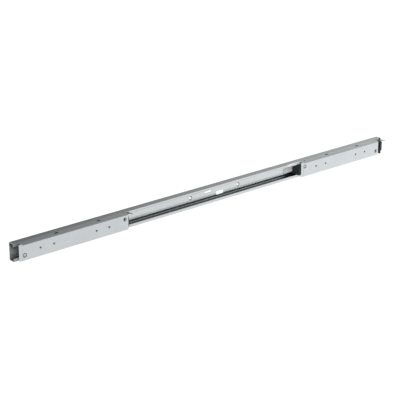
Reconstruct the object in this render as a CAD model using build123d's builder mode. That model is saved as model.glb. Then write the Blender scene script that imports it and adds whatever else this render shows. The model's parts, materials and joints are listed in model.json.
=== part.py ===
"""Table extension slide: a long ball-bearing frame rail and two short rails that carry the table halves.

X runs along the slide, Z is up, and the back face of the frame rail lies on Y = 0.
The two short rails stand at their outer ends, as they do when the table is drawn open.
"""

import os

from build123d import *

# Frame rail: a C channel, open toward the front, with its lips turned inward
frame_length = 1066.0
frame_height = 38.5
frame_depth = 16.0
frame_sheet = 1.8
frame_bend = 2.4
lip_height = 7.0

# Ball races: one row of balls above the runner and one below it
ball_diameter = 6.35
ball_clearance = 0.05
race_bite = 0.3
race_y = -8.3
race_z = frame_height / 2 - frame_sheet + race_bite - ball_clearance - ball_diameter / 2
race_radius = ball_diameter / 2 + ball_clearance

# Screw holes and slots in the web of the frame rail
screw_diameter = 5.2
screw_sink_diameter = 9.2
screw_spacing = 140.0
slot_thin = (-18.5, 3.0, 21.0, 4.5)
slot_wide = (15.5, -5.5, 22.5, 8.6)
pin_hole = (-1.5, -0.3, 2.6)

# Short rails: front cover and the runner behind it
rail_length = 266.0
left_inset = 4.5
right_inset = 23.5
cover_stand_off = 13.4
cover_front = -frame_depth - cover_stand_off
cover_sheet = 1.8
cover_bottom = -15.25
cover_bend = 4.0
cover_gap = 0.4
ear_length = 7.0
ear_set_back = 0.4
ear_drop = 0.5
runner_sheet = 1.8
runner_bend = 2.4
runner_back = -5.0
runner_half = race_z - ball_diameter / 2 - ball_clearance + race_bite
runner_lead = 3.0
runner_tail = 1.0
runner_tongue = 15.0

# Hole lines of the short rails, measured from the middle of their length
plate_hole_diameter = 5.0
plate_hole_line = (frame_height / 2 + cover_bottom) / 2
plate_inner_spacing = 104.0
plate_outer_spacing = 168.0
runner_hole_diameter = 3.3
top_slot_spacing = 104.0
top_slot_middle = 11.0
top_slot_length = 10.0
top_slot_width = 4.8
top_line_out = 5.6
top_line = -frame_depth - top_line_out
access_length = 15.0
access_width = 8.0
locating_hole_diameter = 4.4
locating_hole_x = 18.0

# Rivets that hold each cover on its runner
rivet_offset = 6.6
rivet_in = 12.0
rivet_diameter = 4.0
rivet_head_diameter = 9.4
rivet_head_depth = 1.3
rivet_recess = 0.25
rivet_tail_diameter = 5.6
rivet_tail_height = 1.1
tube_diameter = 4.8
tube_tail_diameter = 5.8
tube_bore_diameter = 3.7
tube_mouth_diameter = 5.4
tube_mouth_depth = 0.9

# Swinging latch under the outer flange of each cover
latch_pivot_in = 6.0
latch_line_out = 4.9
latch_line = -frame_depth - latch_line_out
latch_width = 6.4
latch_sheet = 1.2
left_latch_reach = 18.0
right_latch_reach = 32.0
latch_droop = 5.0
latch_heel = 5.0
latch_play = 0.1
latch_clearance = 0.05
latch_rivet_diameter = 3.6
latch_head_diameter = 6.6
latch_head_depth = 1.1

# Plastic end guide in the inner mouth of each short rail
guide_thickness = 4.0
guide_plug_length = 11.0
guide_play = 0.3
guide_gap = 0.5
guide_back = -4.8
guide_plug_play = 1.6

# Plastic ball cages
cage_length = 140.0
cage_half_width = 4.9
cage_thickness = 4.8
cage_bridge_back = -2.2
cage_bridge_front = -4.4
cage_bridge_length = 10.0
pocket_clearance = 0.15
ball_count = 4
ball_pitch = 36.0
travel = 240.0

# Plastic stops in the ends of the frame rail
stop_inside = 21.0
stop_nose = 7.5
stop_nose_top = 8.0
stop_nose_bottom = -15.3
stop_bar_depth = 3.6
stop_bar_length = 4.0
stop_bar_inset = 2.0
buffer_length = 5.5
buffer_inset = 1.5
buffer_reach = 7.0
corner_notch = 5.0
corner_drop = 3.4
corner_recess = 0.2

frame_half = frame_height / 2
frame_end = frame_length / 2
left_start = left_inset - frame_end
right_start = frame_end - right_inset - rail_length
latch_pivot_x = rail_length - latch_pivot_in
inner_half = frame_half - frame_sheet
lip_edge = frame_half - lip_height
cover_back = cover_front + cover_sheet
flange_under = frame_half - cover_sheet
flange_edge = -frame_depth - cover_gap
runner_front = cover_back
runner_web_back = runner_front + runner_sheet
cage_half = race_z + cage_thickness / 2


def frame_rail():
    """The long C channel with its two ball races, fixing holes and web slots."""
    with BuildPart() as rail:
        with BuildSketch(Plane.YZ.offset(-frame_end)):
            with Locations((-frame_depth / 2, 0)):
                RectangleRounded(frame_depth, frame_height, frame_bend)
                RectangleRounded(
                    frame_depth - 2 * frame_sheet,
                    frame_height - 2 * frame_sheet,
                    frame_bend - frame_sheet,
                    mode=Mode.SUBTRACT,
                )
            with Locations((-frame_depth, 0)):
                Rectangle(3 * frame_sheet, 2 * lip_edge, mode=Mode.SUBTRACT)
            with Locations((race_y, race_z), (race_y, -race_z)):
                Circle(race_radius, mode=Mode.SUBTRACT)
        extrude(amount=frame_length)
        with BuildSketch(Plane.XZ):
            with Locations(slot_thin[:2]):
                SlotOverall(slot_thin[2], slot_thin[3])
            with Locations(slot_wide[:2]):
                RectangleRounded(slot_wide[2], slot_wide[3], slot_wide[3] * 0.42)
            with Locations(pin_hole[:2]):
                Circle(pin_hole[2] / 2)
        extrude(amount=2 * frame_sheet, both=True, mode=Mode.SUBTRACT)
        for x in (-screw_spacing / 2, screw_spacing / 2):
            with Locations(Plane((x, -frame_sheet, 0), z_dir=(0, -1, 0))):
                CounterSinkHole(screw_diameter / 2, screw_sink_diameter / 2, counter_sink_angle=110)
        # Corner notch for the clip of the end stop
        with Locations((frame_end, -frame_depth, frame_half)):
            Box(2 * corner_notch, 2 * frame_sheet, 2 * corner_drop, mode=Mode.SUBTRACT)
    return rail.part


def frame_end_stop():
    """Plastic plug in the right end of the frame rail, with stop bar, nose and corner clip."""
    plug_start = frame_end - stop_inside
    plug_chamfer = frame_bend - frame_sheet + 0.2
    with BuildPart() as stop:
        with BuildSketch(Plane.YZ.offset(plug_start)):
            with Locations((-frame_depth / 2, 0)):
                Rectangle(frame_depth - 2 * frame_sheet, 2 * inner_half)
            with Locations((-frame_depth / 2 - frame_sheet, 0)):
                Rectangle(frame_depth, 2 * lip_edge)
            # Relief for the web and the front of the lips
            with Locations((0, 0)):
                Rectangle(2 * frame_sheet, 3 * inner_half, mode=Mode.SUBTRACT)
            with Locations((-1.5 * frame_depth, 0)):
                Rectangle(frame_depth, 3 * inner_half, mode=Mode.SUBTRACT)
        extrude(amount=stop_inside)
        chamfer(
            stop.edges()
            .filter_by(Axis.X)
            .filter_by(lambda e: abs(abs(e.center().Z) - inner_half) < 0.01),
            plug_chamfer,
        )
        # Stop bar in front of the lips
        with BuildSketch(Plane.XZ.offset(frame_depth)):
            with Locations(
                (
                    frame_end - stop_bar_inset - stop_bar_length / 2,
                    (stop_nose_top - frame_half) / 2,
                )
            ):
                Rectangle(stop_bar_length, stop_nose_top + frame_half)
        extrude(amount=stop_bar_depth)
        # Nose beyond the end of the rail
        nose_middle = (stop_nose_top + stop_nose_bottom) / 2
        with BuildSketch(Plane.YZ.offset(frame_end)):
            with Locations((-frame_depth / 2 - 1.0, nose_middle)):
                RectangleRounded(frame_depth - 5.0, stop_nose_top - stop_nose_bottom, 1.5)
        extrude(amount=stop_nose)
        # Corner clip that fills the notch of the flange
        clip_low = frame_half - corner_drop
        clip_high = frame_half - corner_recess
        clip_front = -frame_depth + corner_recess
        with Locations((frame_end - corner_notch / 2, clip_front, clip_low)):
            Box(
                corner_notch,
                frame_sheet - corner_recess,
                clip_high - clip_low,
                align=(Align.CENTER, Align.MIN, Align.MIN),
            )
            Box(
                corner_notch,
                2 * frame_sheet,
                inner_half - plug_chamfer - clip_low,
                align=(Align.CENTER, Align.MIN, Align.MIN),
            )
        # Hollow on the far side of the plug
        with BuildSketch(Plane.YZ.offset(plug_start)):
            with Locations((-frame_depth / 2 - 0.4, 0)):
                RectangleRounded(7.5, 1.5 * inner_half, 1.0)
        extrude(amount=stop_inside - 4.0, mode=Mode.SUBTRACT)
    return stop.part


def frame_stop_buffer():
    """Small plastic buffer above the runner in the left end of the frame rail."""
    with BuildPart() as buffer:
        with BuildSketch(Plane.YZ.offset(-frame_end + buffer_inset)):
            with Locations((-frame_depth / 2, inner_half - buffer_reach / 2)):
                Rectangle(frame_depth - 2 * frame_sheet, buffer_reach)
        extrude(amount=buffer_length)
        chamfer(
            buffer.edges().filter_by(Axis.X).group_by(Axis.Z)[-1],
            frame_bend - frame_sheet + 0.2,
        )
    return buffer.part


def rail_screw_places(start):
    """X of the four screw holes in the front of a short rail."""
    middle = start + rail_length / 2
    spacings = (-plate_outer_spacing, -plate_inner_spacing, plate_inner_spacing, plate_outer_spacing)
    return [middle + spacing / 2 for spacing in spacings]


def top_slot_places(start):
    """X of the two screw slots in the top flange of a short rail."""
    middle = start + rail_length / 2 + top_slot_middle
    return [middle - top_slot_spacing / 2, middle + top_slot_spacing / 2]


def rivet_places(start, flip):
    """X and Z of the solid rivet and of the tubular rivet of a short rail."""
    solid = (start + rivet_in, plate_hole_line + flip * rivet_offset)
    tube = (start + rail_length - 0.75 * rivet_in, plate_hole_line - flip * rivet_offset)
    return solid, tube


def cover(start, flip):
    """Front plate and top flange folded from one sheet, with a straight ear at one end."""
    solid, tube = rivet_places(start, flip)
    with BuildPart() as plate:
        with BuildSketch(Plane.YZ.offset(start + ear_length)) as section:
            with Locations(((cover_front + cover_back) / 2, (frame_half + cover_bottom) / 2)):
                Rectangle(cover_sheet, frame_half - cover_bottom)
            with Locations(((cover_front + flange_edge) / 2, frame_half - cover_sheet / 2)):
                Rectangle(flange_edge - cover_front, cover_sheet)
            fillet(section.vertices().sort_by_distance((cover_front, frame_half))[0], cover_bend)
            inner = section.vertices().sort_by_distance((cover_back, flange_under))[0]
            fillet(inner, cover_bend - cover_sheet)
        extrude(amount=rail_length - ear_length)
        # Straight ear, set back by a small joggle
        with Locations(
            (
                start + (ear_length + 1.0) / 2,
                cover_back - (cover_sheet - ear_set_back) / 2,
                (frame_half - ear_drop + cover_bottom) / 2,
            )
        ):
            Box(ear_length + 1.0, cover_sheet - ear_set_back, frame_half - ear_drop - cover_bottom)
        with BuildSketch(Plane.XZ.offset(-cover_front + 1)):
            with Locations([(x, plate_hole_line) for x in rail_screw_places(start)]):
                Circle(plate_hole_diameter / 2)
            with Locations(solid):
                Circle(rivet_diameter / 2)
            with Locations(tube):
                Circle(tube_diameter / 2)
        extrude(amount=-cover_sheet - 2, mode=Mode.SUBTRACT)
        for x, z in (solid, tube):
            with Locations(Plane((x, cover_front, z), z_dir=(0, -1, 0))):
                Cylinder(
                    rivet_head_diameter / 2,
                    rivet_head_depth,
                    align=(Align.CENTER, Align.CENTER, Align.MAX),
                    mode=Mode.SUBTRACT,
                )
        with BuildSketch(Plane.XY.offset(frame_half)):
            with Locations([(x, top_line) for x in top_slot_places(start)]):
                SlotOverall(top_slot_length, top_slot_width)
            with Locations((start + locating_hole_x, top_line)):
                Circle(locating_hole_diameter / 2)
            with Locations((start + latch_pivot_x, latch_line)):
                Circle(latch_rivet_diameter / 2)
        extrude(amount=-2 * cover_sheet, mode=Mode.SUBTRACT)
        with Locations((start + latch_pivot_x, latch_line, frame_half)):
            Cylinder(
                latch_head_diameter / 2,
                latch_head_depth,
                align=(Align.CENTER, Align.CENTER, Align.MAX),
                mode=Mode.SUBTRACT,
            )
    return plate.part


def runner(start, flip):
    """U channel behind the cover that reaches between the lips and rides on the balls."""
    solid, tube = rivet_places(start, flip)
    with BuildPart() as channel:
        with BuildSketch(Plane.YZ.offset(start + runner_lead)) as section:
            with Locations(((runner_front + runner_back) / 2, 0)):
                Rectangle(runner_back - runner_front, 2 * runner_half)
            fillet(section.vertices().group_by(Axis.X)[0], runner_bend)
            with Locations(((runner_web_back + runner_back + runner_bend) / 2, 0)):
                RectangleRounded(
                    runner_back + runner_bend - runner_web_back,
                    2 * (runner_half - runner_sheet),
                    runner_bend - runner_sheet,
                    mode=Mode.SUBTRACT,
                )
            with Locations((race_y, race_z), (race_y, -race_z)):
                Circle(race_radius, mode=Mode.SUBTRACT)
        extrude(amount=rail_length - runner_lead - runner_tail)
        # Flat tongue without flanges at each end, where the rivets are set
        flange_middle = (runner_web_back + runner_back) / 2
        for x in (start + runner_lead + runner_tongue / 2, start + rail_length - runner_tail - runner_tongue / 2):
            with Locations((x, (runner_front + runner_web_back) / 2, 0)):
                Box(runner_tongue, runner_sheet, 2 * runner_half)
            with Locations((x, flange_middle, 0)):
                Box(runner_tongue, runner_back - runner_web_back, 3 * runner_half, mode=Mode.SUBTRACT)
        with BuildSketch(Plane.XZ.offset(-runner_front + 1)):
            with Locations([(x, plate_hole_line) for x in rail_screw_places(start)]):
                Circle(runner_hole_diameter / 2)
            with Locations(solid):
                Circle(rivet_diameter / 2)
            with Locations(tube):
                Circle(tube_diameter / 2)
        extrude(amount=-runner_sheet - 2, mode=Mode.SUBTRACT)
        # Access slots in both flanges, in line with the slots of the cover
        with BuildSketch(Plane.XY.offset(runner_half + 1)):
            with Locations([(x, top_line) for x in top_slot_places(start)]):
                SlotOverall(access_length, access_width)
        extrude(amount=-2 * runner_half - 2, mode=Mode.SUBTRACT)
    return channel.part


def flush_rivet(x, z, shank, tail):
    """Flush rivet through cover and runner, with that shank and tail diameter."""
    with BuildPart() as rivet:
        with BuildSketch(Plane.XZ.offset(-cover_front - rivet_recess)):
            with Locations((x, z)):
                Circle(rivet_head_diameter / 2)
        extrude(amount=-(rivet_head_depth - rivet_recess))
        with BuildSketch(Plane.XZ.offset(-cover_front - rivet_head_depth)):
            with Locations((x, z)):
                Circle(shank / 2)
        extrude(amount=-(cover_sheet + runner_sheet - rivet_head_depth))
        with BuildSketch(Plane.XZ.offset(-runner_web_back)):
            with Locations((x, z)):
                Circle(tail / 2)
        extrude(amount=-rivet_tail_height)
        chamfer(rivet.edges().filter_by(GeomType.CIRCLE).group_by(Axis.Y)[-1], 0.4)
    return rivet.part


def tube_rivet(x, z):
    """Flush tubular rivet, open right through."""
    with BuildPart() as rivet:
        add(flush_rivet(x, z, tube_diameter, tube_tail_diameter))
        with BuildSketch(Plane.XZ.offset(-cover_front + 1)):
            with Locations((x, z)):
                Circle(tube_bore_diameter / 2)
        extrude(amount=-cover_sheet - runner_sheet - rivet_tail_height - 2, mode=Mode.SUBTRACT)
        with Locations(Plane((x, cover_front + rivet_recess, z), z_dir=(0, -1, 0))):
            Cone(
                tube_bore_diameter / 2,
                tube_mouth_diameter / 2,
                tube_mouth_depth,
                align=(Align.CENTER, Align.CENTER, Align.MAX),
                mode=Mode.SUBTRACT,
            )
    return rivet.part


def latch(start, reach):
    """Thin swinging tongue with a rounded heel and a tip that droops past the rail."""
    heel = start + latch_pivot_x - latch_heel
    tip = start + rail_length + reach
    level = flange_under - latch_play
    bend = start + rail_length + 1.5
    middle = start + rail_length + 0.55 * reach
    with BuildPart() as tongue:
        with BuildSketch(Plane.XZ.offset(-latch_line - latch_width / 2)):
            with BuildLine():
                Polyline((bend, level), (heel, level), (heel, level - latch_sheet), (bend, level - latch_sheet))
                Spline(
                    (bend, level - latch_sheet),
                    (middle, level - latch_sheet - 0.26 * latch_droop),
                    (tip, level - latch_sheet - latch_droop),
                    tangents=((1, 0), (1, -0.55)),
                )
                Line((tip, level - latch_sheet - latch_droop), (tip, level - latch_droop))
                Spline(
                    (tip, level - latch_droop),
                    (middle, level - 0.26 * latch_droop),
                    (bend, level),
                    tangents=((-1, 0.55), (-1, 0)),
                )
            make_face()
        extrude(amount=latch_width)
        with BuildSketch(Plane.XY.offset(level)) as plan:
            with Locations(((heel + tip) / 2, latch_line)):
                Rectangle(tip - heel, latch_width)
            fillet(plan.vertices().group_by(Axis.X)[0], 0.45 * latch_width)
            fillet(plan.vertices().group_by(Axis.X)[-1], 0.3 * latch_width)
            with Locations((start + latch_pivot_x, latch_line)):
                Circle(latch_rivet_diameter / 2 + latch_clearance, mode=Mode.SUBTRACT)
        extrude(amount=2 * latch_droop + 2, both=True, mode=Mode.INTERSECT)
    return tongue.part


def latch_rivet(start):
    """Flush-headed pivot rivet of the latch."""
    x = start + latch_pivot_x
    shank_bottom = flange_under - 2 * latch_play - latch_sheet
    with BuildPart() as rivet:
        with Locations((x, latch_line, frame_half)):
            Cylinder(latch_head_diameter / 2, latch_head_depth, align=(Align.CENTER, Align.CENTER, Align.MAX))
            Cylinder(
                latch_rivet_diameter / 2,
                frame_half - shank_bottom,
                align=(Align.CENTER, Align.CENTER, Align.MAX),
            )
        with Locations((x, latch_line, shank_bottom)):
            Cylinder(latch_head_diameter / 2 - 0.4, 0.9, align=(Align.CENTER, Align.CENTER, Align.MAX))
        chamfer(rivet.edges().filter_by(GeomType.CIRCLE).group_by(Axis.Z)[0], 0.3)
    return rivet.part


def end_guide(edge, outward):
    """Black plastic guide in the rail's mouth at edge; outward is 1 toward +X and -1 toward -X."""
    head_front = cover_back + guide_gap
    plug_front = runner_web_back + rivet_tail_height + 0.6
    plug_back = guide_back - guide_plug_play
    plug_half = runner_half - runner_sheet
    inward = -outward * (runner_lead + runner_tongue + guide_plug_length)
    with BuildPart() as guide:
        # Head, as high as the runner, so that it passes between the lips
        with BuildSketch(Plane.YZ.offset(edge)):
            with Locations(((head_front + guide_back) / 2, 0)):
                RectangleRounded(guide_back - head_front, 2 * (runner_half - guide_play), runner_bend)
        extrude(amount=outward * guide_thickness)
        chamfer(guide.faces().sort_by(Axis.X)[-1 if outward > 0 else 0].edges(), 0.6)
        # Plug that sits in the runner, hollow from its far end
        with BuildSketch(Plane.YZ.offset(edge)):
            with Locations(((plug_front + plug_back) / 2, 0)):
                Rectangle(plug_back - plug_front, 2 * plug_half)
        extrude(amount=inward)
        with BuildSketch(Plane.YZ.offset(edge - outward)):
            with Locations(((plug_front + plug_back) / 2, 0)):
                RectangleRounded(0.6 * (guide_back - plug_front), 1.3 * plug_half, 1.0)
        extrude(amount=inward, mode=Mode.SUBTRACT)
    return guide.part


def cage(start):
    """Plastic ball cage: an upper and a lower arm joined by two thin bridges at the web."""
    with BuildPart() as holder:
        for side in (1, -1):
            with Locations((start + cage_length / 2, race_y, side * race_z)):
                Box(cage_length, 2 * cage_half_width, cage_thickness)
        bridge_depth = cage_bridge_back - cage_bridge_front
        bridge_middle = (cage_bridge_back + cage_bridge_front) / 2
        for x in (cage_bridge_length / 2, cage_length - cage_bridge_length / 2):
            with Locations((start + x, bridge_middle, 0)):
                Box(cage_bridge_length, bridge_depth, 2 * cage_half)
        with BuildSketch(Plane.XY.offset(cage_half + 1)):
            with Locations([(x, race_y) for x in ball_places(start)]):
                Circle(ball_diameter / 2 + pocket_clearance)
        extrude(amount=-2 * cage_half - 2, mode=Mode.SUBTRACT)
        chamfer(holder.edges().filter_by(Axis.Y).filter_by(lambda e: e.length > 2 * cage_half_width - 0.1), 0.8)
    return holder.part


def ball_places(start):
    """X of the balls of one row."""
    first = start + (cage_length - (ball_count - 1) * ball_pitch) / 2
    return [first + i * ball_pitch for i in range(ball_count)]


def ball_row(start, side):
    """One row of steel balls, above the runner for side 1 and below it for side -1."""
    with BuildPart() as row:
        with Locations([(x, race_y, side * race_z) for x in ball_places(start)]):
            Sphere(ball_diameter / 2)
    return row.part


pieces = {
    "frame_rail": frame_rail(),
    "frame_end_stop": frame_end_stop(),
    "frame_stop_buffer": frame_stop_buffer(),
}
cage_margin = (rail_length - cage_length - travel / 2) / 2
left_cage_start = left_start + cage_margin + travel / 2
right_cage_start = right_start + cage_margin
for side, start, flip, cage_start, reach, mouth, outward in (
    ("left", left_start, -1, left_cage_start, left_latch_reach, left_start + rail_length, 1),
    ("right", right_start, 1, right_cage_start, right_latch_reach, right_start, -1),
):
    solid_place, tube_place = rivet_places(start, flip)
    pieces[side + "_cover"] = cover(start, flip)
    pieces[side + "_runner"] = runner(start, flip)
    pieces[side + "_rivet"] = flush_rivet(*solid_place, rivet_diameter, rivet_tail_diameter)
    pieces[side + "_tube_rivet"] = tube_rivet(*tube_place)
    pieces[side + "_latch"] = latch(start, reach)
    pieces[side + "_latch_rivet"] = latch_rivet(start)
    pieces[side + "_end_guide"] = end_guide(mouth, outward)
    pieces[side + "_cage"] = cage(cage_start)
    pieces[side + "_upper_balls"] = ball_row(cage_start, 1)
    pieces[side + "_lower_balls"] = ball_row(cage_start, -1)

os.makedirs("parts", exist_ok=True)
for name, piece in pieces.items():
    piece.label = name
    export_step(piece, "parts/" + name + ".step")
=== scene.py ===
# %% [markdown]
# # Dressing a table extension slide
#
# The slide is a long C-shaped steel rail with a short rail in each end. All its sheet parts are zinc
# plated, its rivets are bright steel and its guides are black moulded plastic. The solid model arrives
# as a fixed frame: its parts keep their place and shape, and this lesson gives them their finish, a
# few turned rivets with soft edges, a camera, a floor and studio light.

# %% Load the frame
import json
import math

import bmesh
import bpy
import numpy as np
from mathutils import Matrix, Vector


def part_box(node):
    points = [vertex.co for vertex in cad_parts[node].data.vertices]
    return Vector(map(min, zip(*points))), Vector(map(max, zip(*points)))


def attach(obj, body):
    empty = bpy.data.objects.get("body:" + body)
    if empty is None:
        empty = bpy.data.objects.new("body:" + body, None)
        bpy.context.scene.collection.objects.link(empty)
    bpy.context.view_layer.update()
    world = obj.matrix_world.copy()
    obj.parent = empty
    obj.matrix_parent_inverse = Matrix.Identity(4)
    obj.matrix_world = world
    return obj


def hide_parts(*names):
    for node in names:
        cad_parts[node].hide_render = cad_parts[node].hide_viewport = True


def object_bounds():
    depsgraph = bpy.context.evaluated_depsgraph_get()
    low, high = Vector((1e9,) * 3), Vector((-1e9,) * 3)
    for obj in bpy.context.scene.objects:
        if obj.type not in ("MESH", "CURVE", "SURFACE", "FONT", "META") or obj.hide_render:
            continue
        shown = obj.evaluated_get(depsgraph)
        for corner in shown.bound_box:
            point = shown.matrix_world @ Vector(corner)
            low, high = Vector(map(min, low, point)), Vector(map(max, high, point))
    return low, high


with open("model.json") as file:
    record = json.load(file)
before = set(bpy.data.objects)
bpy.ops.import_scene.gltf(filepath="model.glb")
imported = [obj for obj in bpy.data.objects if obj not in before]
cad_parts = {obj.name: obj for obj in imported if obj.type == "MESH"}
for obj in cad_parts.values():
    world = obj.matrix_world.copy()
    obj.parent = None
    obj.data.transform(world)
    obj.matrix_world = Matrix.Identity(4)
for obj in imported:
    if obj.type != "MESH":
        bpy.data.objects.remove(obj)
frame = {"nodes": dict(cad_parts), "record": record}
nodes = frame["nodes"]
scene = bpy.context.scene
cad_box = [list(corner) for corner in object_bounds()]


def in_mm(box):
    """Both corners of a box in millimetres, to a tenth."""
    return [[round(1000 * v, 1) for v in corner] for corner in box]


print("parts:", len(nodes), "box in mm:", in_mm(cad_box))

# %% [markdown]
# ## The camera
#
# A long straight object tells a lot about the lens that saw it: its parallel edges run together only
# a little, so the camera stood well away and used a long lens. The camera is turned in three steps:
# to the right about the upright axis, down, and then a hair round its own line of sight.

# %% Camera
camera_place = Vector((-1.7548, -1.9529, 0.9104))
camera_turn, camera_dip, camera_roll = 41.267, 19.532, -0.125
lens_length, sensor_width = 113.76, 36.0
camera_data = bpy.data.cameras.new("studio_camera")
camera_data.sensor_width = sensor_width
camera_data.lens = lens_length
camera = bpy.data.objects.new("studio_camera", camera_data)
scene.collection.objects.link(camera)
facing = (
    Matrix.Rotation(math.radians(-camera_turn), 4, "Z")
    @ Matrix.Rotation(math.radians(90.0 - camera_dip), 4, "X")
    @ Matrix.Rotation(math.radians(camera_roll), 4, "Z")
)
camera.matrix_world = Matrix.Translation(camera_place) @ facing
scene.camera = camera
scene.view_settings.view_transform = "Standard"
print("lens", lens_length, "mm, turned", camera_turn, "and down", camera_dip, "degrees")

# %% [markdown]
# ## Making nodes with little typing
#
# Every finish here is built from the same few kinds of nodes. Small helpers add a node with its
# settings, join two sockets, do a sum and spread a value over a new range, so that a finish reads as
# a short list of what happens in it.


# %% Node helpers
def add_node(tree, kind, **settings):
    """A new node of that kind; a setting that names an input socket fills it in."""
    node = tree.nodes.new(kind)
    for name, value in settings.items():
        if name in node.inputs:
            node.inputs[name].default_value = value
        else:
            setattr(node, name, value)
    return node


def join(tree, source, target):
    """Joins an output socket to an input socket."""
    tree.links.new(source, target)


def math_node(tree, operation, first, second):
    """A Math node; each side is a socket or a plain number. Returns its output socket."""
    node = tree.nodes.new("ShaderNodeMath")
    node.operation = operation
    for slot, value in zip(node.inputs, (first, second)):
        if isinstance(value, bpy.types.NodeSocket):
            tree.links.new(value, slot)
        else:
            slot.default_value = value
    return node.outputs[0]


def spread(tree, source, start, end, low=0.0, high=1.0, soft=True):
    """Spreads a value from start..end over low..high: low before start, high after end.

    With u = (value - start) / (end - start), soft bends it by 3 u * u - 2 u * u * u."""
    node = tree.nodes.new("ShaderNodeMapRange")
    if soft:
        node.interpolation_type = "SMOOTHSTEP"
    join(tree, source, node.inputs["Value"])
    limits = {"From Min": start, "From Max": end, "To Min": low, "To Max": high}
    for name, value in limits.items():
        node.inputs[name].default_value = value
    return node.outputs[0]


def split(tree, vector):
    """The X, Y and Z of a vector socket, as three sockets."""
    node = tree.nodes.new("ShaderNodeSeparateXYZ")
    join(tree, vector, node.inputs[0])
    return node.outputs["X"], node.outputs["Y"], node.outputs["Z"]


def grey(level):
    """A grey of that level, as a colour."""
    return (level, level, level, 1.0)


print("node helpers: add_node, join, math_node, spread, split, grey")

# %% [markdown]
# ## Floor
#
# The backdrop is white paper. To the camera, and to the metal that mirrors it, the paper shows nearly
# white by a glow of its own, but that glow doesn't light the slide. What is left of its plain matt
# colour catches the soft shadow under the rail.


# %% Floor
matt_paper, seen_paper, seen_glow = 0.72, 0.20, 0.95
mirrored_left, mirrored_right, mirrored_reach = 0.78, 0.93, 0.4


def paper_material():
    """White paper: matt for scattered light, and glowing where it is looked at or mirrored.

    The mirrored glow rises from mirrored_left to mirrored_right over mirrored_reach either side of
    the middle."""
    material = bpy.data.materials.new("studio_paper")
    material.use_nodes = True
    tree = material.node_tree
    tree.nodes.clear()
    output = add_node(tree, "ShaderNodeOutputMaterial")
    path = add_node(tree, "ShaderNodeLightPath").outputs
    plain = add_node(tree, "ShaderNodeBsdfDiffuse", Color=grey(matt_paper))
    soft = add_node(tree, "ShaderNodeBsdfDiffuse", Color=grey(seen_paper))
    glow = add_node(tree, "ShaderNodeEmission", Color=grey(1.0))
    along = split(tree, add_node(tree, "ShaderNodeTexCoord").outputs["Object"])[0]
    mirrored = spread(
        tree, along, -mirrored_reach, mirrored_reach, mirrored_left, mirrored_right, soft=False
    )
    looked_at = math_node(tree, "MULTIPLY", path["Is Camera Ray"], seen_glow)
    join(tree, math_node(tree, "MAXIMUM", mirrored, looked_at), glow.inputs["Strength"])
    both = add_node(tree, "ShaderNodeAddShader")
    pick = add_node(tree, "ShaderNodeMixShader")
    seen = math_node(tree, "MAXIMUM", path["Is Camera Ray"], path["Is Glossy Ray"])
    seen = math_node(tree, "MAXIMUM", seen, path["Is Transmission Ray"])
    join(tree, soft.outputs[0], both.inputs[0])
    join(tree, glow.outputs[0], both.inputs[1])
    join(tree, seen, pick.inputs[0])
    join(tree, plain.outputs[0], pick.inputs[1])
    join(tree, both.outputs[0], pick.inputs[2])
    join(tree, pick.outputs[0], output.inputs[0])
    return material


def paper_sheet(half_width, level):
    """A flat sheet: x and y run over a square grid, z is the level everywhere."""
    steps = np.linspace(-half_width, half_width, 5)
    x, y = np.meshgrid(steps, steps, indexing="ij")
    return np.stack([x, y, np.full_like(x, level)], axis=-1)


def mesh_from_grid(name, grid, closed=False):
    """A mesh whose vertices are a grid of points; each small square of the grid is one face.

    When closed, the last column of points is joined to the first one."""
    rows, columns = grid.shape[:2]
    index = np.arange(rows * columns).reshape(rows, columns)
    if closed:
        index = np.hstack([index, index[:, :1]])
    faces = np.stack([index[:-1, :-1], index[1:, :-1], index[1:, 1:], index[:-1, 1:]], axis=-1)
    mesh = bpy.data.meshes.new(name)
    mesh.from_pydata(grid.reshape(-1, 3).tolist(), [], faces.reshape(-1, 4).tolist())
    mesh.update()
    return mesh


floor_level, floor_half_width = cad_box[0][2], 9.0
floor_mesh = mesh_from_grid("studio_floor", paper_sheet(floor_half_width, floor_level))
floor = bpy.data.objects.new("studio_floor", floor_mesh)
scene.collection.objects.link(floor)
floor.data.materials.append(paper_material())
print("floor at", round(1000 * floor_level, 2), "mm, faces", len(floor.data.polygons))

# %% [markdown]
# ## Studio surroundings
#
# Bare metal is mostly a mirror, so what stands round it matters more than its own colour. The front
# of the slide mirrors the white paper. Its top flanges mirror the far side of the room, which is dim
# a little to the right of straight ahead and lighter on either side of that. The surroundings are
# worked out from the direction of a ray: white at the height of the paper's horizon, and the room
# above it.


# %% Surroundings
horizon, room_height = 0.02, 0.20
dim_level, right_level, right_start, right_end = 0.22, 0.80, 0.45, 0.85
left_level, left_end, left_start = 0.62, -0.05, 0.32
fill_level = 0.42


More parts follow.
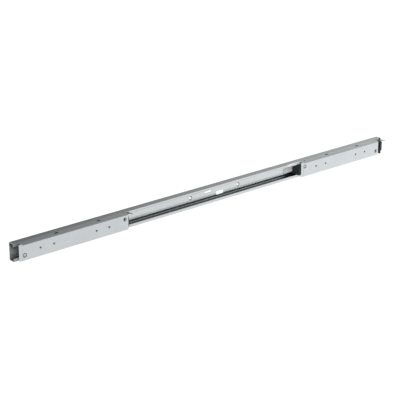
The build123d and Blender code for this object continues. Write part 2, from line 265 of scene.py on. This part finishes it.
def studio_world():
    """Surroundings: white for the camera, a dim room for metal, soft fill for the rest.

    The room's level goes by the ray's X: left_level before left_end, dim_level between left_start
    and right_start, right_level after right_end. Below horizon it is white like the paper."""
    world = bpy.data.worlds.new("studio_room")
    scene.world = world
    world.use_nodes = True
    tree = world.node_tree
    tree.nodes.clear()
    output = add_node(tree, "ShaderNodeOutputWorld")
    path = add_node(tree, "ShaderNodeLightPath").outputs
    across, _, up = split(tree, add_node(tree, "ShaderNodeTexCoord").outputs["Generated"])
    height = spread(tree, up, horizon, room_height)
    right = spread(tree, across, right_start, right_end, dim_level, right_level)
    left = spread(tree, across, left_end, left_start, left_level, 0.0)
    room = math_node(tree, "MULTIPLY", math_node(tree, "MAXIMUM", right, left), height)
    paper = math_node(tree, "SUBTRACT", 1.0, height)
    shown = add_node(tree, "ShaderNodeMix", data_type="FLOAT")
    join(tree, path["Is Glossy Ray"], shown.inputs[0])
    shown.inputs[2].default_value = fill_level
    join(tree, math_node(tree, "ADD", room, paper), shown.inputs[3])
    open_view = math_node(tree, "MAXIMUM", path["Is Camera Ray"], path["Is Transmission Ray"])
    sky = add_node(tree, "ShaderNodeBackground", Color=grey(1.0))
    join(tree, math_node(tree, "MAXIMUM", open_view, shown.outputs[0]), sky.inputs["Strength"])
    join(tree, sky.outputs[0], output.inputs[0])
    return world


print("surroundings:", studio_world().name)

# %% [markdown]
# ## Lamps
#
# Two large soft lamps: one high in front and to the left, and a weaker one from the right. The metal
# doesn't mirror them, so they light only what isn't bare metal, such as the plastic, the floor and the
# matt patches, and give soft shadows.


# %% Lamps
def soft_lamp(name, place, target, width, watts):
    """A square lamp that faces its target."""
    data = bpy.data.lights.new(name, "AREA")
    data.shape = "SQUARE"
    data.size = width
    data.energy = watts
    lamp = bpy.data.objects.new(name, data)
    lamp.visible_glossy = False
    scene.collection.objects.link(lamp)
    place, target = Vector(place), Vector(target)
    aim = (place - target).to_track_quat("Z", "Y").to_matrix().to_4x4()
    lamp.matrix_world = Matrix.Translation(place) @ aim
    return lamp


soft_lamp("front_lamp", place=(-1.2, -3.0, 2.2), target=(0.0, 0.0, 0.0), width=2.4, watts=70.0)
soft_lamp("right_lamp", place=(3.0, -1.2, 1.6), target=(0.2, 0.0, 0.0), width=1.6, watts=22.0)

# %% [markdown]
# ## Zinc coating
#
# Zinc on cold-rolled steel isn't one grey. Seen close, it has fine lines along the rolling direction,
# small crystal patches and slow cloudy changes. All three are patterns on the object's own
# coordinates, so they stay put when the slide moves. They are made once, as a node group with a few
# named inputs, and each steel part places the group with its own values.


# %% Zinc coating group
def new_group(name, inputs, outputs):
    """An empty shader node group with those named sockets; inputs is {name: (kind, value)}."""
    group = bpy.data.node_groups.new(name, "ShaderNodeTree")
    for socket, (kind, value) in inputs.items():
        made = group.interface.new_socket(name=socket, in_out="INPUT", socket_type=kind)
        if value is not None:
            made.default_value = value
    for socket, kind in outputs.items():
        group.interface.new_socket(name=socket, in_out="OUTPUT", socket_type=kind)
    return group, group.nodes.new("NodeGroupInput"), group.nodes.new("NodeGroupOutput")


NUMBER, VECTOR = "NodeSocketFloat", "NodeSocketVector"


line_pitch = (14.0, 1500.0, 1500.0)  # changes per metre along X, Y and Z
cloud_pitch = 26.0
ridge_share, grain_share = 0.6, 0.4


def zinc_coating_group():
    """Rolling lines, crystal patches and clouds, mixed to one shade and a height.

    Shade = 0.5 + the sum of amount * (pattern - 0.5) over the three patterns.
    Height = ridge_share * lines + grain_share * patches."""
    tree, given, made = new_group(
        "zinc_coating",
        {
            "Position": (VECTOR, None),
            "Patches": (NUMBER, 0.3),
            "Lines": (NUMBER, 0.3),
            "Clouds": (NUMBER, 0.4),
            "Patch Scale": (NUMBER, 420.0),
        },
        {"Shade": NUMBER, "Height": NUMBER},
    )
    stretch = add_node(tree, "ShaderNodeVectorMath", operation="MULTIPLY")
    join(tree, given.outputs["Position"], stretch.inputs[0])
    stretch.inputs[1].default_value = line_pitch
    lines = add_node(tree, "ShaderNodeTexNoise", Scale=1.0, Detail=3.0, Roughness=0.6)
    join(tree, stretch.outputs[0], lines.inputs["Vector"])
    crystals = add_node(tree, "ShaderNodeTexVoronoi", feature="F1")
    join(tree, given.outputs["Position"], crystals.inputs["Vector"])
    join(tree, given.outputs["Patch Scale"], crystals.inputs["Scale"])
    tint, grain, _ = split(tree, crystals.outputs["Color"])
    clouds = add_node(tree, "ShaderNodeTexNoise", Scale=cloud_pitch, Detail=4.0, Roughness=0.55)
    join(tree, given.outputs["Position"], clouds.inputs["Vector"])
    shade = 0.5
    patterns = (("Patches", tint), ("Lines", lines.outputs[0]), ("Clouds", clouds.outputs[0]))
    for amount, pattern in patterns:
        swing = math_node(tree, "SUBTRACT", pattern, 0.5)
        part = math_node(tree, "MULTIPLY", swing, given.outputs[amount])
        shade = math_node(tree, "ADD", shade, part)
    join(tree, shade, made.inputs["Shade"])
    ridge = math_node(tree, "MULTIPLY", lines.outputs[0], ridge_share)
    grain = math_node(tree, "MULTIPLY", grain, grain_share)
    join(tree, math_node(tree, "ADD", ridge, grain), made.inputs["Height"])
    return tree


zinc_coating = zinc_coating_group()
print("group", zinc_coating.name, "with", len(zinc_coating.nodes), "nodes")

# %% [markdown]
# ## Rub marks
#
# Sliding and stacking leave thin bright scratches, mostly along the rail, and a few short ones
# across it. A noise pattern that is stretched very far along one direction and cut off at a high
# level leaves just a few thin streaks. The group gives them as a mask.


# %% Rub mark group
along_pitch = 22.0  # changes per metre along the rail; Fineness gives them across it
streaks = ((0.0, 1.0), (0.32, 0.6))  # turn in radians and strength
rub_start, rub_full = 0.64, 0.74


def rub_mark_group():
    """Thin streaks along X and a few slanted ones, as a mask from 0 to 1."""
    tree, given, made = new_group(
        "rub_marks",
        {"Position": (VECTOR, None), "Amount": (NUMBER, 0.5), "Fineness": (NUMBER, 900.0)},
        {"Mask": NUMBER},
    )
    fineness = given.outputs["Fineness"]
    masks = []
    for turn, strength in streaks:
        turned = add_node(tree, "ShaderNodeVectorRotate", rotation_type="Y_AXIS", Angle=turn)
        join(tree, given.outputs["Position"], turned.inputs["Vector"])
        thin = add_node(tree, "ShaderNodeCombineXYZ")
        pitches = (along_pitch, fineness, fineness)
        for part, pitch, slot in zip(split(tree, turned.outputs[0]), pitches, thin.inputs):
            join(tree, math_node(tree, "MULTIPLY", part, pitch), slot)
        streak = add_node(tree, "ShaderNodeTexNoise", Scale=1.0, Detail=2.0, Roughness=0.5)
        join(tree, thin.outputs[0], streak.inputs["Vector"])
        mask = spread(tree, streak.outputs[0], rub_start, rub_full, soft=False)
        masks.append(math_node(tree, "MULTIPLY", mask, strength))
    both = math_node(tree, "MAXIMUM", *masks)
    join(tree, math_node(tree, "MULTIPLY", both, given.outputs["Amount"]), made.inputs["Mask"])
    return tree


rub_marks = rub_mark_group()
print("group", rub_marks.name, "with", len(rub_marks.nodes), "nodes")

# %% [markdown]
# ## Rolled beads
#
# Rolling a channel presses a low bead into its back wall beside each inner corner, and leaves a soft
# edge on its lips. Such a bead is only tenths of a millimetre high, so it goes into the finish: a
# smooth hump along X whose sides tip the mirror image up and down. That draws a light line through
# the dark band at the foot of the channel.


# %% Rolled bead group
face_reach = 0.0003


def rolled_bead_group():
    """Height of a bead along X: rise * (1 - u * u) squared, u = distance from its line / half width.

    It lies only where Y is within face_reach of Face."""
    tree, given, made = new_group(
        "rolled_bead",
        {
            "Position": (VECTOR, None),
            "Line": (NUMBER, 0.0),
            "Face": (NUMBER, 0.0),
            "Half Width": (NUMBER, 0.002),
            "Rise": (NUMBER, 0.0005),
        },
        {"Height": NUMBER},
    )
    _, back, up = split(tree, given.outputs["Position"])
    away = math_node(tree, "SUBTRACT", up, given.outputs["Line"])
    share = math_node(tree, "DIVIDE", away, given.outputs["Half Width"])
    inside = math_node(tree, "SUBTRACT", 1.0, math_node(tree, "MULTIPLY", share, share))
    inside = math_node(tree, "MAXIMUM", 0.0, inside)
    hump = math_node(tree, "MULTIPLY", inside, inside)
    hump = math_node(tree, "MULTIPLY", hump, given.outputs["Rise"])
    off_face = math_node(tree, "SUBTRACT", back, given.outputs["Face"])
    off_face = math_node(tree, "ABSOLUTE", off_face, 0.0)
    on_face = math_node(tree, "LESS_THAN", off_face, face_reach)
    join(tree, math_node(tree, "MULTIPLY", hump, on_face), made.inputs["Height"])
    return tree


rolled_bead = rolled_bead_group()
print("group", rolled_bead.name, "with", len(rolled_bead.nodes), "nodes")

# %% [markdown]
# ## Steel finishes
#
# A plated sheet is metal with a little blur. The coating's shade moves its colour between two tones
# and its roughness with it, the rub marks make it brighter and smoother, and the coating's height
# goes into a very shallow bump. The frame, the covers, the runners behind them and the latches come
# from different coils and get different values.
#
# The frame alone gets painted marks: inside its ends and in its countersinks it is darkened as painted
# shade and made matt as if scuffed, a matt patch beside the right guide is whitened as painted light,
# a dark band of painted shade lies in its inner corners, and its top and bottom faces are darkened as
# painted shade.


# %% Steel finishes
def colour_mix(tree, factor, first, second):
    """A colour Mix node; factor is a socket, and first and second are colours or sockets."""
    node = tree.nodes.new("ShaderNodeMix")
    node.data_type = "RGBA"
    tree.links.new(factor, node.inputs[0])
    for slot, value in ((node.inputs[6], first), (node.inputs[7], second)):
        if isinstance(value, bpy.types.NodeSocket):
            tree.links.new(value, slot)
        else:
            slot.default_value = (*value, 1.0)
    return node.outputs[2]


def place_group(tree, group, position, **values):
    """Places a node group, fed with the object's position and its own values."""
    node = tree.nodes.new("ShaderNodeGroup")
    node.node_tree = group
    join(tree, position, node.inputs["Position"])
    for name, value in values.items():
        node.inputs[name.replace("_", " ")].default_value = value
    return node


inside_half, inside_front = 0.0185, -0.0012
# Painted shade: the inside darkens toward both ends, where the covers close it in, and in the
# countersinks; there it also turns matt.
shade_scuff_start, shade_scuff_full = 0.300, 0.500
sink_place, sink_radius = 0.070, 0.0047
# Painted light: a matt patch of the back wall beside the right guide is whitened so that it stays
# bright.
matt_lit_left, matt_lit_full, matt_lit_fading, matt_lit_right = 0.207, 0.219, 0.262, 0.320
matt_lit_low, matt_lit_high = -0.0085, -0.0050
# Painted shade: a dark band along the frame's inner corners and ball tracks.
corner_shade_start, corner_shade_full, corner_shade_front = 0.0152, 0.0160, -0.0150
# Painted shade: the top and bottom faces beyond this height are darkened.
flange_shade_from = 0.0190


def wear_masks(tree, position):
    """Four masks from 0 to 1 for the frame: end shade, lit patch, corner shade and flange shade.

    End shade is the inside toward both ends, more and more, and within sink_radius of the two
    countersinks: painted shade that is also matt. The lit patch is a matt patch of the back wall
    beside the right guide, whitened as painted light. Corner shade lies in the inner corners and ball
    tracks, and flange shade on the top and bottom outer faces: both painted shade."""
    across, back, up = split(tree, position)
    along = math_node(tree, "ABSOLUTE", across, 0.0)
    high = math_node(tree, "ABSOLUTE", up, 0.0)
    inside = math_node(
        tree,
        "MULTIPLY",
        math_node(tree, "LESS_THAN", high, inside_half),
        math_node(tree, "LESS_THAN", back, inside_front),
    )
    from_sink = math_node(tree, "SUBTRACT", along, sink_place)
    reach = math_node(
        tree,
        "ADD",
        math_node(tree, "MULTIPLY", from_sink, from_sink),
        math_node(tree, "MULTIPLY", high, high),
    )
    sinks = math_node(tree, "LESS_THAN", math_node(tree, "SQRT", reach, 0.0), sink_radius)
    # Ends and countersinks: painted shade, and matt like a scuff.
    shade_and_scuff = math_node(tree, "MAXIMUM", spread(tree, along, shade_scuff_start, shade_scuff_full), sinks)
    # The patch beside the right guide: matt, and whitened as painted light.
    matt_lit_patch = math_node(
        tree,
        "MULTIPLY",
        spread(tree, across, matt_lit_left, matt_lit_full),
        spread(tree, up, matt_lit_low, matt_lit_high),
    )
    faded = math_node(tree, "SUBTRACT", 1.0, spread(tree, across, matt_lit_fading, matt_lit_right))
    matt_lit_patch = math_node(tree, "MULTIPLY", matt_lit_patch, faded)
    # Inner corners: painted shade.
    corner_shade = math_node(
        tree,
        "MULTIPLY",
        spread(tree, high, corner_shade_start, corner_shade_full),
        math_node(tree, "GREATER_THAN", back, corner_shade_front),
    )
    masks = [math_node(tree, "MULTIPLY", mask, inside) for mask in (shade_and_scuff, matt_lit_patch, corner_shade)]
    # The last mask paints shade on the top and bottom faces.
    return (*masks, math_node(tree, "GREATER_THAN", high, flange_shade_from))


# Near black, for the rivets' painted shade.
painted_shade_colour = (0.015, 0.015, 0.016)
# A near-black corner colour for painted shade, and a near-white patch colour for painted light.
corner_shade_colour, lit_patch_colour = (0.06, 0.06, 0.055), (0.93, 0.95, 0.96)
rubbed_gain, rubbed_gloss = 1.18, 0.08
# Shares and tones of the painted shade and painted light on the frame.
flange_shade_share, end_shade_share, corner_shade_share, lit_patch_share = 0.8, 0.6, 0.45, 0.9
flange_shade_tone, end_shade_tone = 0.82, 0.45
scuffed_matt, matt_blur, matt_metal_loss = 0.5, 0.40, 0.90
coat_bump = 0.35


def plated_steel(
    name, dark, light, rough, patches, lines, clouds, patch_scale, rubs, depth, beads=()
):
    """Zinc-plated or bare steel with its coating pattern, rub marks and shallow bump.

    Where the mesh carries the rivets' shade attribute, the steel is darkened by it: painted shade.
    Each bead is its line's height, the face it lies on, its half width and its rise; steel with beads
    also gets the frame's marks: painted shade, painted light and matt patches."""
    material = bpy.data.materials.new(name)
    material.use_nodes = True
    tree = material.node_tree
    shader = tree.nodes["Principled BSDF"].inputs
    shader["Metallic"].default_value = 1.0
    position = add_node(tree, "ShaderNodeTexCoord").outputs["Object"]
    amounts = {"Patches": patches, "Lines": lines, "Clouds": clouds, "Patch_Scale": patch_scale}
    coat = place_group(tree, zinc_coating, position, **amounts)
    rub = place_group(tree, rub_marks, position, Amount=rubs)
    tone = colour_mix(tree, coat.outputs["Shade"], dark, light)
    bright = tuple(min(1.0, rubbed_gain * c) for c in light)
    rubbed = colour_mix(tree, rub.outputs["Mask"], tone, bright)
    # The rivets' painted shade darkens their grooves and bores.
    painted_shade = add_node(tree, "ShaderNodeAttribute", attribute_name="painted_shade")
    colour = colour_mix(tree, painted_shade.outputs["Fac"], rubbed, painted_shade_colour)
    blur = spread(tree, coat.outputs["Shade"], 0.0, 1.0, rough[1], rough[0], soft=False)
    gloss = math_node(tree, "MULTIPLY", rub.outputs["Mask"], rubbed_gloss)
    blur = math_node(tree, "SUBTRACT", blur, gloss)
    bump = add_node(tree, "ShaderNodeBump", Strength=coat_bump, Distance=depth)
    join(tree, coat.outputs["Height"], bump.inputs["Height"])
    if beads:
        shade_and_scuff, matt_lit_patch, corner_shade, flange_shade = wear_masks(tree, position)
        # These mixes paint shade on the flanges, ends and corners, and paint light on the matt patch.
        for mask, share, worn in (
            (flange_shade, flange_shade_share, tuple(flange_shade_tone * c for c in dark)),
            (shade_and_scuff, end_shade_share, tuple(end_shade_tone * c for c in dark)),
            (corner_shade, corner_shade_share, corner_shade_colour),
            (matt_lit_patch, lit_patch_share, lit_patch_colour),
        ):
            colour = colour_mix(tree, math_node(tree, "MULTIPLY", mask, share), colour, worn)
        matt = math_node(tree, "MULTIPLY", shade_and_scuff, scuffed_matt)
        matt = math_node(tree, "MAXIMUM", matt, matt_lit_patch)
        blur = math_node(tree, "ADD", blur, math_node(tree, "MULTIPLY", matt, matt_blur))
        metal_loss = math_node(tree, "MULTIPLY", matt, matt_metal_loss)
        join(tree, math_node(tree, "SUBTRACT", 1.0, metal_loss), shader["Metallic"])
        height = 0.0
        for line, face, half_width, rise in beads:
            bead = place_group(
                tree, rolled_bead, position, Line=line, Face=face, Half_Width=half_width, Rise=rise
            )
            height = math_node(tree, "ADD", height, bead.outputs["Height"])
        shape = add_node(tree, "ShaderNodeBump", Strength=1.0, Distance=1.0)
        join(tree, height, shape.inputs["Height"])
        join(tree, shape.outputs[0], bump.inputs["Normal"])
    join(tree, colour, shader["Base Color"])
    join(tree, blur, shader["Roughness"])
    join(tree, bump.outputs[0], shader["Normal"])
    return material


web_face, lip_face = -0.0018, -0.0160
frame_beads = (
    (-0.0144, web_face, 0.0014, 0.00045),
    (0.0144, web_face, 0.0014, 0.00045),
    (-0.0105, web_face, 0.0045, 0.0002),
    (0.0105, web_face, 0.0045, 0.0002),
    (0.0134, lip_face, 0.0010, 0.00030),
)
steels = {
    "zinc_frame": {
        "dark": (0.56, 0.59, 0.60), "light": (0.72, 0.75, 0.76), "rough": (0.15, 0.22),
        "patches": 0.20, "lines": 0.25, "clouds": 0.5, "patch_scale": 380.0,
        "rubs": 0.4, "depth": 1e-5, "beads": frame_beads,
    },
    "zinc_cover": {
        "dark": (0.56, 0.59, 0.60), "light": (0.70, 0.73, 0.745), "rough": (0.24, 0.32),
        "patches": 0.12, "lines": 0.18, "clouds": 0.5, "patch_scale": 330.0,
        "rubs": 0.3, "depth": 1e-5,
    },
    "zinc_runner": {
        "dark": (0.62, 0.64, 0.65), "light": (0.80, 0.82, 0.83), "rough": (0.34, 0.44),
        "patches": 0.3, "lines": 0.4, "clouds": 0.5, "patch_scale": 420.0,
        "rubs": 0.6, "depth": 1e-5,
    },
    "zinc_latch": {
        "dark": (0.05, 0.052, 0.055), "light": (0.12, 0.123, 0.127), "rough": (0.30, 0.40),
        "patches": 0.3, "lines": 0.4, "clouds": 0.4, "patch_scale": 500.0,
        "rubs": 0.5, "depth": 1e-5,
    },
    "rivet_steel": {
        "dark": (0.46, 0.48, 0.49), "light": (0.66, 0.68, 0.69), "rough": (0.30, 0.40),
        "patches": 0.4, "lines": 0.2, "clouds": 0.5, "patch_scale": 900.0,
        "rubs": 0.5, "depth": 2e-5,
    },
    "ball_steel": {
        "dark": (0.60, 0.60, 0.60), "light": (0.80, 0.80, 0.80), "rough": (0.06, 0.12),
        "patches": 0.1, "lines": 0.1, "clouds": 0.3, "patch_scale": 300.0,
        "rubs": 0.6, "depth": 4e-6,
    },
}
finishes = {name: plated_steel(name, **values) for name, values in steels.items()}
print("steel finishes:", sorted(finishes))

# %% [markdown]
# ## Moulded plastic
#
# The end guides, the end stop and the buffer are black plastic with a fine matt mould texture. Dust
# and finger grease leave slow changes in gloss. The cages are a dark grey of the same kind.


# %% Moulded plastic
pit_share, gloss_share = 0.4, 0.6


def mould_texture_group():
    """Fine pits of a spark-eroded mould as a height, and a shade.

    Shade = pit_share * pits + gloss_share * slow clouds."""
    tree, given, made = new_group(
        "mould_texture",
        {"Position": (VECTOR, None), "Pit Scale": (NUMBER, 2600.0), "Cloud Scale": (NUMBER, 90.0)},
        {"Shade": NUMBER, "Height": NUMBER},
    )
    pits = add_node(tree, "ShaderNodeTexNoise", Detail=3.0, Roughness=0.6)
    clouds = add_node(tree, "ShaderNodeTexNoise", Detail=4.0, Roughness=0.5)
    for pattern, scale in ((pits, "Pit Scale"), (clouds, "Cloud Scale")):
        join(tree, given.outputs["Position"], pattern.inputs["Vector"])
        join(tree, given.outputs[scale], pattern.inputs["Scale"])
    fine = math_node(tree, "MULTIPLY", pits.outputs[0], pit_share)
    slow = math_node(tree, "MULTIPLY", clouds.outputs[0], gloss_share)
    join(tree, math_node(tree, "ADD", fine, slow), made.inputs["Shade"])
    join(tree, pits.outputs[0], made.inputs["Height"])
    return tree


mould_texture = mould_texture_group()
plastic_rubs, plastic_rubbed_gain, plastic_shine, plastic_bump = 0.35, 2.2, 0.4, 0.3


def moulded_plastic(name, dark, light, rough, depth):
    """Matt moulded plastic: two close tones, uneven gloss and a fine bump."""
    material = bpy.data.materials.new(name)
    material.use_nodes = True
    tree = material.node_tree
    shader = tree.nodes["Principled BSDF"].inputs
    position = add_node(tree, "ShaderNodeTexCoord").outputs["Object"]
    skin = place_group(tree, mould_texture, position).outputs
    rub = place_group(tree, rub_marks, position, Amount=plastic_rubs)
    tone = colour_mix(tree, skin["Shade"], dark, light)
    worn = tuple(plastic_rubbed_gain * c for c in light)
    join(tree, colour_mix(tree, rub.outputs["Mask"], tone, worn), shader["Base Color"])
    join(tree, spread(tree, skin["Shade"], 0.0, 1.0, *rough, soft=False), shader["Roughness"])
    shader["Specular IOR Level"].default_value = plastic_shine
    bump = add_node(tree, "ShaderNodeBump", Strength=plastic_bump, Distance=depth)
    join(tree, skin["Height"], bump.inputs["Height"])
    join(tree, bump.outputs[0], shader["Normal"])
    return material


plastics = {
    "black_plastic": {
        "dark": (0.010, 0.010, 0.011), "light": (0.030, 0.031, 0.033), "rough": (0.42, 0.62),
        "depth": 3e-5,
    },
    "cage_plastic": {
        "dark": (0.030, 0.031, 0.033), "light": (0.065, 0.066, 0.070), "rough": (0.45, 0.65),
        "depth": 3e-5,
    },
}
finishes.update({name: moulded_plastic(name, **values) for name, values in plastics.items()})
print("plastic finishes:", sorted(plastics))

# %% [markdown]
# ## Handing out the finishes
#
# The record says which finish belongs to which part. A part's object takes it in its material slot,
# and its mesh is left as it is.

# %% Hand out
slot_of = {entry["node"]: entry["material_slot"] for entry in frame["record"]["subparts"]}
for name, part in nodes.items():
    part.data.materials.clear()
    part.data.materials.append(finishes[slot_of[name]])
print("finished parts:", len(slot_of))

# %% [markdown]
# ## Turned rivets
#
# A flush rivet isn't a plain disc. Its head is pressed into a round seat: the middle is slightly
# dished, a ring stands round it, and the edge falls away into a narrow groove. Painted shade darkens
# that groove, more on the left, and the tube rivet's bore. Such a piece is a profile carried round an
# axis, so it is worked out on a grid: one direction follows the profile, the other goes round.


# %% Turned pieces
MM = 0.001
nearly_straight = 1.55  # half a corner's angle in radians, above which it isn't rounded


def rounded_profile(corners, radii, steps=6):
    """A profile whose corners are rounded: each corner becomes an arc that touches both its sides.

    The arc starts at radius / tan(half the corner's angle) before the corner and bends evenly."""
    points = [np.array(corners[0], float)]
    for before, corner, after, radius in zip(corners[:-2], corners[1:-1], corners[2:], radii):
        before, corner, after = (np.array(p, float) for p in (before, corner, after))
        back, ahead = before - corner, after - corner
        back, ahead = back / np.linalg.norm(back), ahead / np.linalg.norm(ahead)
        half = 0.5 * math.acos(float(np.clip(back @ ahead, -1.0, 1.0)))
        if radius <= 0.0 or half > nearly_straight:
            points.append(corner)
            continue
        middle = corner + (back + ahead) / np.linalg.norm(back + ahead) * radius / math.sin(half)
        first = corner + back * radius / math.tan(half) - middle
        last = corner + ahead * radius / math.tan(half) - middle
        share = np.linspace(0.0, 1.0, steps)[:, None]
        turn = math.pi - 2.0 * half
        arc = (np.sin((1 - share) * turn) * first + np.sin(share * turn) * last) / math.sin(turn)
        points.extend(middle + arc)
    points.append(np.array(corners[-1], float))
    return np.array(points)


def turned(profile, centre, axis, around=64):
    """A profile of (radius, depth) carried round an axis: each point goes round a circle.

    Place = centre + depth * axis + radius * (cos(angle) * one side + sin(angle) * the other)."""
    axis = np.array(axis, float)
    side = np.cross(axis, (0.0, 0.0, 1.0)) if abs(axis[2]) < 0.9 else np.array((1.0, 0.0, 0.0))
    other = np.cross(axis, side)
    angle = np.linspace(0.0, 2.0 * math.pi, around, endpoint=False)
    circle = np.cos(angle)[:, None] * side + np.sin(angle)[:, None] * other
    radius, depth = profile[:, 0], profile[:, 1]
    along = depth[:, None, None] * axis
    return np.array(centre) + along + radius[:, None, None] * circle[None, :, :]


seam_reach, sharp_angle = 1e-7, 0.7


def add_piece(name, mesh, finish, body, node=None):
    """Closes a mesh's seams, turns its faces outwards and adds it as a piece that rides on a body.

    Edges that turn by more than sharp_angle, in radians, stay sharp."""
    shape = bmesh.new()
    shape.from_mesh(mesh)
    bmesh.ops.remove_doubles(shape, verts=shape.verts, dist=seam_reach)
    bmesh.ops.recalc_face_normals(shape, faces=shape.faces)
    for face in shape.faces:
        face.smooth = True
    for edge in shape.edges:
        if len(edge.link_faces) == 2 and edge.calc_face_angle(0.0) > sharp_angle:
            edge.smooth = False
    shape.to_mesh(mesh)
    shape.free()
    piece = bpy.data.objects.new(name, mesh)
    scene.collection.objects.link(piece)
    mesh.materials.append(finishes[finish])
    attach(piece, body)
    if node:
        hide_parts(node)
    return piece


cover_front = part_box("left_cover")[0].y
groove_start, groove_width, hole_fall = 3.2 * MM, 0.3 * MM, 0.5 * MM
# The groove gets more painted shade on the left than on the right.
left_groove_shade, right_groove_shade = 1.0, 0.4


def add_painted_shade(mesh, centre, groove_shade, bore):
    """Painted shade in the groove round the head and, within the radius bore, in the hole: 1 dark, 0
    none.

    Groove = rise from 0 at groove_start to the groove's amount over groove_width, times the left share
    on the left and the right share on the right; hole = fall to 0 over its last hole_fall."""
    places = np.empty(3 * len(mesh.vertices))
    mesh.vertices.foreach_get("co", places)
    places = places.reshape(-1, 3)
    radius = np.hypot(places[:, 0] - centre[0], places[:, 2] - centre[2])
    to_right = (places[:, 0] - centre[0]) / np.maximum(radius, 0.1 * MM)
    side_share = (left_groove_shade + right_groove_shade) / 2 - (left_groove_shade - right_groove_shade) / 2 * to_right
    groove = groove_shade * side_share * np.clip((radius - groove_start) / groove_width, 0.0, 1.0)
    hole = np.clip((bore - radius) / hole_fall, 0.0, 1.0)
    # Painted shade, stored on the mesh.
    painted_shade = mesh.attributes.new("painted_shade", "FLOAT", "POINT")
    painted_shade.data.foreach_set("value", np.maximum(groove, hole))


def solid_rivet_profile():
    """Dished head with a raised ring, shank and upset tail, from the head's middle to the tail's.

    Each corner is its radius and its depth below the cover's front, in millimetres."""
    corners = [
        (0.0, 0.85), (1.3, 0.85), (2.5, 0.10), (3.2, 0.10), (3.49, 0.30), (4.65, 1.10),
        (4.65, 1.30), (2.0, 1.30), (2.0, 3.60), (2.8, 3.60), (2.8, 4.70), (0.0, 4.70),
    ]
    radii = [0.6, 0.5, 0.2, 0.0, 0.05, 0.0, 0.0, 0.0, 0.1, 0.45]
    return rounded_profile(np.array(corners) * MM, np.array(radii) * MM)


def tube_rivet_profile():
    """Flared mouth, bore and rolled tail, closed back to its start."""
    corners = [
        (1.85, 1.30), (2.7, 0.22), (3.5, 0.22), (4.65, 0.85), (4.65, 1.30), (2.4, 1.30),
        (2.4, 3.60), (2.9, 3.60), (2.9, 4.70), (1.85, 4.70), (1.85, 1.30),
    ]
    radii = [0.3, 0.4, 0.2, 0.05, 0.0, 0.0, 0.1, 0.4, 0.3]
    return rounded_profile(np.array(corners) * MM, np.array(radii) * MM)


# Amounts of painted shade in each rivet's groove and bore.
rivets = {
    "rivet": {"profile": solid_rivet_profile(), "groove_shade": 1.0, "bore": 0.0},
    "tube_rivet": {"profile": tube_rivet_profile(), "groove_shade": 0.2, "bore": 2.5 * MM},
}
for side in ("left", "right"):
    for kind, values in rivets.items():
        low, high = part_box(side + "_" + kind)
        centre = ((low.x + high.x) / 2, cover_front, (low.z + high.z) / 2)
        grid = turned(values["profile"], centre, (0.0, 1.0, 0.0))
        mesh = mesh_from_grid(side + "_turned_" + kind, grid, closed=True)
        piece = add_piece(mesh.name, mesh, "rivet_steel", side + "_rail", side + "_" + kind)
        add_painted_shade(mesh, centre, values["groove_shade"], values["bore"])
        print(piece.name, "faces", len(mesh.polygons))
